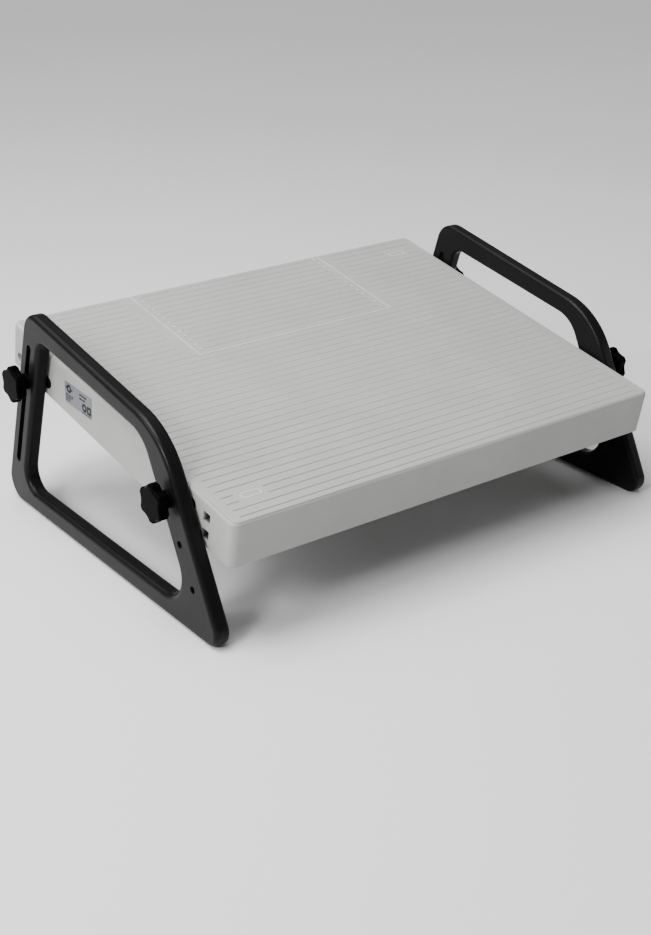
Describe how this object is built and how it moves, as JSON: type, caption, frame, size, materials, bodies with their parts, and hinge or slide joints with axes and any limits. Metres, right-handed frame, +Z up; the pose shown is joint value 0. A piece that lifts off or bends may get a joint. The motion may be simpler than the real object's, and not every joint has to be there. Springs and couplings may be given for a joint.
{
  "type": "slant board",
  "caption": "Adjustable foot and calf slant board: a ribbed plastic platform clamped between two black side frames, tilting on front pivots with lobed clamp knobs.",
  "frame": {"origin": "on the floor below the middle of the whole object's box, at the tilt it is stored at", "axes": "+X across the board to the user's right, +Y from the low front edge to the raised back, +Z up"},
  "size_m": [0.51, 0.3512, 0.1911],
  "materials": {
    "board_grey": "fine textured light grey",
    "frame_black": "satin black moulding",
    "label_print": "printed film",
    "bolt_steel": "zinc plated",
    "washer_steel": "zinc plated",
    "spacer_black": "matt nylon",
    "washer_black": "matt nylon",
    "insert_brass": "turned",
    "knob_black": "satin"
  },
  "bodies": {
    "side_frames": {"frame_left": "frame_black", "frame_right": "frame_black"},
    "board": {"platform": "board_grey", "rating_label": "label_print", "bolt_front_left": "bolt_steel", "inner_washer_front_left": "washer_steel", "spacer_front_left": "spacer_black", "bolt_front_right": "bolt_steel", "inner_washer_front_right": "washer_steel", "spacer_front_right": "spacer_black"},
    "rear_clamp_left": {"bolt_rear_left": "bolt_steel", "inner_washer_rear_left": "washer_steel", "spacer_rear_left": "spacer_black"},
    "rear_clamp_right": {"bolt_rear_right": "bolt_steel", "inner_washer_rear_right": "washer_steel", "spacer_rear_right": "spacer_black"},
    "washer_front_left": {"outer_washer_front_left": "washer_black"},
    "knob_front_left": {"knob_front_left": "knob_black", "knob_insert_front_left": "insert_brass"},
    "washer_front_right": {"outer_washer_front_right": "washer_black"},
    "knob_front_right": {"knob_front_right": "knob_black", "knob_insert_front_right": "insert_brass"},
    "washer_rear_left": {"outer_washer_rear_left": "washer_black"},
    "knob_rear_left": {"knob_rear_left": "knob_black", "knob_insert_rear_left": "insert_brass"},
    "washer_rear_right": {"outer_washer_rear_right": "washer_black"},
    "knob_rear_right": {"knob_rear_right": "knob_black", "knob_insert_rear_right": "insert_brass"}
  },
  "joints": [
    {"name": "board_tilt", "type": "hinge", "parent": "side_frames", "child": "board", "pos_m": [0, -0.10588, 0.1047], "axis": [1, 0, 0], "range_deg": [-9.5, 8]},
    {"name": "rear_clamp_left_slide", "type": "slide", "parent": "side_frames", "child": "rear_clamp_left", "axis": [0, -0.2924, 0.9563], "range_m": [-0.04, 0.034]},
    {"name": "rear_clamp_right_slide", "type": "slide", "parent": "side_frames", "child": "rear_clamp_right", "axis": [0, -0.2924, 0.9563], "range_m": [-0.04, 0.034]},
    {"name": "knob_front_left_travel", "type": "slide", "parent": "board", "child": "washer_front_left", "axis": [-1, 0, 0], "range_m": [0, 0.0031]},
    {"name": "knob_front_left_turn", "type": "hinge", "parent": "washer_front_left", "child": "knob_front_left", "pos_m": [-0.246, -0.10588, 0.1047], "axis": [-1, 0, 0], "range_deg": [0, 1080]},
    {"name": "knob_front_right_travel", "type": "slide", "parent": "board", "child": "washer_front_right", "axis": [1, 0, 0], "range_m": [0, 0.0031]},
    {"name": "knob_front_right_turn", "type": "hinge", "parent": "washer_front_right", "child": "knob_front_right", "pos_m": [0.246, -0.10588, 0.1047], "axis": [1, 0, 0], "range_deg": [0, 1080]},
    {"name": "knob_rear_left_travel", "type": "slide", "parent": "rear_clamp_left", "child": "washer_rear_left", "axis": [-1, 0, 0], "range_m": [0, 0.0031]},
    {"name": "knob_rear_left_turn", "type": "hinge", "parent": "washer_rear_left", "child": "knob_rear_left", "pos_m": [-0.246, 0.12152, 0.12602], "axis": [-1, 0, 0], "range_deg": [0, 1080]},
    {"name": "knob_rear_right_travel", "type": "slide", "parent": "rear_clamp_right", "child": "washer_rear_right", "axis": [1, 0, 0], "range_m": [0, 0.0031]},
    {"name": "knob_rear_right_turn", "type": "hinge", "parent": "washer_rear_right", "child": "knob_rear_right", "pos_m": [0.246, 0.12152, 0.12602], "axis": [1, 0, 0], "range_deg": [0, 1080]}
  ],
  "couplings": [
    {"joint": "rear_clamp_left_slide", "follows": "board_tilt", "m_per_rad": 0.23205},
    {"joint": "rear_clamp_right_slide", "follows": "board_tilt", "m_per_rad": 0.23205},
    {"joint": "knob_front_left_travel", "follows": "knob_front_left_turn", "m_per_rad": 0.00015915},
    {"joint": "knob_front_right_travel", "follows": "knob_front_right_turn", "m_per_rad": 0.00015915},
    {"joint": "knob_rear_left_travel", "follows": "knob_rear_left_turn", "m_per_rad": 0.00015915},
    {"joint": "knob_rear_right_travel", "follows": "knob_rear_right_turn", "m_per_rad": 0.00015915}
  ]
}
